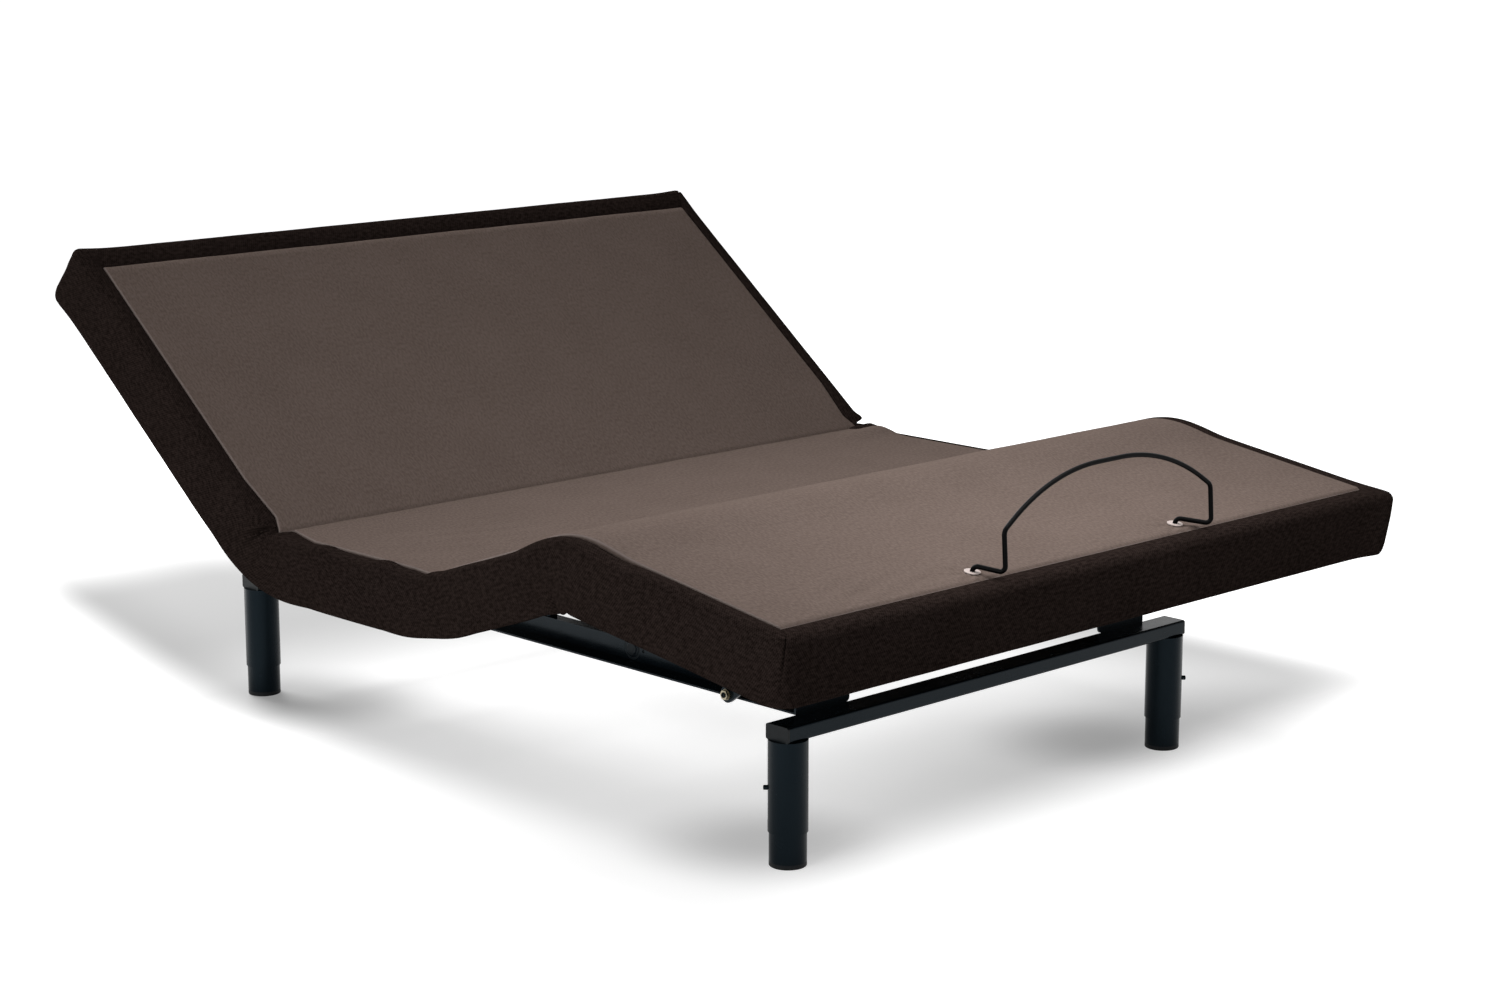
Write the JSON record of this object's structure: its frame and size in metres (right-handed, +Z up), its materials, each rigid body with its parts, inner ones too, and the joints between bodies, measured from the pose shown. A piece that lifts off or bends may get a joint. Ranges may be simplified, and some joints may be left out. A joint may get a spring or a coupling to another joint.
{
  "type": "adjustable bed base",
  "caption": "Powered adjustable bed base: fabric-covered back, seat, thigh and foot panels hinged on a steel frame with lift shafts, linear drives, sliding legs and a mattress retainer bar.",
  "frame": {"origin": "on the floor, below the middle of the bed's outline in the raised pose", "axes": "+X across the bed to its right side seen from the foot end, +Y towards the head end, +Z up"},
  "size_m": [1.511, 1.912, 0.8611],
  "materials": {
    "board": "matte",
    "top_fabric": "matte",
    "border_fabric": "matte",
    "frame_steel": "satin",
    "hinge_steel": "satin",
    "zinc_steel": "satin",
    "plain_steel": "satin",
    "black_plastic": "matte",
    "grey_plastic": "matte",
    "pale_plastic": "matte",
    "wire": "satin"
  },
  "bodies": {
    "base": {"foot_crossbar": "frame_steel", "head_crossbar": "frame_steel", "crossbar_end_caps": "black_plastic", "side_rail_left": "frame_steel", "side_rail_right": "frame_steel", "rail_saddles": "frame_steel", "seat_posts": "frame_steel", "seat_bearers": "frame_steel", "drive_crossmember": "frame_steel", "shaft_bushes": "grey_plastic", "head_drive_motor": "black_plastic", "thigh_drive_motor": "black_plastic", "drive_tubes": "black_plastic", "control_box": "black_plastic", "leg_outer_tubes": "frame_steel", "link_pivot_bolts": "zinc_steel", "seat_deck": "board", "seat_pad": "top_fabric", "seat_border": "border_fabric", "seat_hinge_leaves": "hinge_steel", "seat_hinge_pins": "plain_steel"},
    "head_panel": {"head_deck": "board", "head_pad": "top_fabric", "head_border": "border_fabric", "head_hinge_leaves": "hinge_steel", "head_lift_tracks": "black_plastic", "head_massage_motor": "black_plastic"},
    "thigh_panel": {"thigh_deck": "board", "thigh_pad": "top_fabric", "thigh_border": "border_fabric", "thigh_hinge_leaves": "hinge_steel", "thigh_lift_tracks": "black_plastic", "knee_hinge_pins": "plain_steel"},
    "foot_panel": {"foot_deck": "board", "foot_pad": "top_fabric", "foot_border": "border_fabric", "foot_hinge_leaves": "hinge_steel", "foot_link_brackets": "frame_steel", "foot_massage_motor": "black_plastic", "retainer_sockets": "pale_plastic"},
    "head_shaft": {"head_lift_shaft": "frame_steel"},
    "thigh_shaft": {"thigh_lift_shaft": "frame_steel"},
    "head_rollers": {"head_rollers": "grey_plastic"},
    "thigh_rollers": {"thigh_rollers": "grey_plastic"},
    "head_rod": {"head_drive_rod": "plain_steel"},
    "thigh_rod": {"thigh_drive_rod": "plain_steel"},
    "foot_links": {"foot_links": "frame_steel"},
    "retainer": {"retainer_bar": "wire"},
    "leg_foot_left": {"leg_inner_tube_foot_left": "frame_steel", "leg_glide_foot_left": "black_plastic"},
    "button_foot_left": {"leg_button_foot_left": "frame_steel"},
    "leg_foot_right": {"leg_inner_tube_foot_right": "frame_steel", "leg_glide_foot_right": "black_plastic"},
    "button_foot_right": {"leg_button_foot_right": "frame_steel"},
    "leg_head_left": {"leg_inner_tube_head_left": "frame_steel", "leg_glide_head_left": "black_plastic"},
    "button_head_left": {"leg_button_head_left": "frame_steel"},
    "leg_head_right": {"leg_inner_tube_head_right": "frame_steel", "leg_glide_head_right": "black_plastic"},
    "button_head_right": {"leg_button_head_right": "frame_steel"}
  },
  "joints": [
    {"name": "head_lift", "type": "hinge", "parent": "base", "child": "head_panel", "pos_m": [0, 0.3365, 0.396], "axis": [1, 0, 0], "range_deg": [-38, 22]},
    {"name": "thigh_lift", "type": "hinge", "parent": "base", "child": "thigh_panel", "pos_m": [0, -0.1065, 0.396], "axis": [-1, 0, 0], "range_deg": [-19, 16]},
    {"name": "foot_fold", "type": "hinge", "parent": "thigh_panel", "child": "foot_panel", "pos_m": [0, -0.4554, 0.51614], "axis": [1, 0, 0], "range_deg": [-27.4, 23.1]},
    {"name": "head_shaft_turn", "type": "hinge", "parent": "base", "child": "head_shaft", "pos_m": [0, 0.5665, 0.257], "axis": [1, 0, 0], "range_deg": [-54.5, 31.6]},
    {"name": "thigh_shaft_turn", "type": "hinge", "parent": "base", "child": "thigh_shaft", "pos_m": [0, -0.2265, 0.257], "axis": [-1, 0, 0], "range_deg": [-27.3, 23]},
    {"name": "head_roller_spin", "type": "hinge", "parent": "head_shaft", "child": "head_rollers", "pos_m": [0, 0.67924, 0.56715], "axis": [1, 0, 0], "continuous": true},
    {"name": "thigh_roller_spin", "type": "hinge", "parent": "thigh_shaft", "child": "thigh_rollers", "pos_m": [0, -0.34506, 0.41807], "axis": [1, 0, 0], "continuous": true},
    {"name": "head_rod_push", "type": "slide", "parent": "base", "child": "head_rod", "axis": [0, 1, 0], "range_m": [-0.0531, 0.0308]},
    {"name": "thigh_rod_push", "type": "slide", "parent": "base", "child": "thigh_rod", "axis": [0, -1, 0], "range_m": [-0.0279, 0.0235]},
    {"name": "foot_link_swing", "type": "hinge", "parent": "base", "child": "foot_links", "pos_m": [0, -0.5145, 0.2445], "axis": [-1, 0, 0], "range_deg": [-25.1, 21.2]},
    {"name": "retainer_lift_out", "type": "slide", "parent": "foot_panel", "child": "retainer", "axis": [0, -0.1454, 0.9894], "range_m": [0, 0.06]},
    {"name": "leg_extend_foot_left", "type": "slide", "parent": "base", "child": "leg_foot_left", "axis": [0, 0, -1], "range_m": [0, 0.05]},
    {"name": "leg_button_press_foot_left", "type": "slide", "parent": "leg_foot_left", "child": "button_foot_left", "axis": [0.7193, -0.6947, 0], "range_m": [0, 0.006], "stiffness_N_per_m": 400, "springref_m": -0.003},
    {"name": "leg_extend_foot_right", "type": "slide", "parent": "base", "child": "leg_foot_right", "axis": [0, 0, -1], "range_m": [0, 0.05]},
    {"name": "leg_button_press_foot_right", "type": "slide", "parent": "leg_foot_right", "child": "button_foot_right", "axis": [-0.7193, 0.6947, 0], "range_m": [0, 0.006], "stiffness_N_per_m": 400, "springref_m": -0.003},
    {"name": "leg_extend_head_left", "type": "slide", "parent": "base", "child": "leg_head_left", "axis": [0, 0, -1], "range_m": [0, 0.05]},
    {"name": "leg_button_press_head_left", "type": "slide", "parent": "leg_head_left", "child": "button_head_left", "axis": [-0.6947, -0.7193, 0], "range_m": [0, 0.006], "stiffness_N_per_m": 400, "springref_m": -0.003},
    {"name": "leg_extend_head_right", "type": "slide", "parent": "base", "child": "leg_head_right", "axis": [0, 0, -1], "range_m": [0, 0.05]},
    {"name": "leg_button_press_head_right", "type": "slide", "parent": "leg_head_right", "child": "button_head_right", "axis": [-0.6947, -0.7193, 0], "range_m": [0, 0.006], "stiffness_N_per_m": 400, "springref_m": -0.003}
  ],
  "couplings": [
    {"joint": "foot_fold", "follows": "thigh_lift", "ratio": 1.44},
    {"joint": "head_shaft_turn", "follows": "head_lift", "ratio": 1.431},
    {"joint": "thigh_shaft_turn", "follows": "thigh_lift", "ratio": 1.4326},
    {"joint": "head_rod_push", "follows": "head_lift", "m_per_rad": 0.079906},
    {"joint": "thigh_rod_push", "follows": "thigh_lift", "m_per_rad": 0.083894},
    {"joint": "foot_link_swing", "follows": "thigh_lift", "ratio": 1.317}
  ]
}
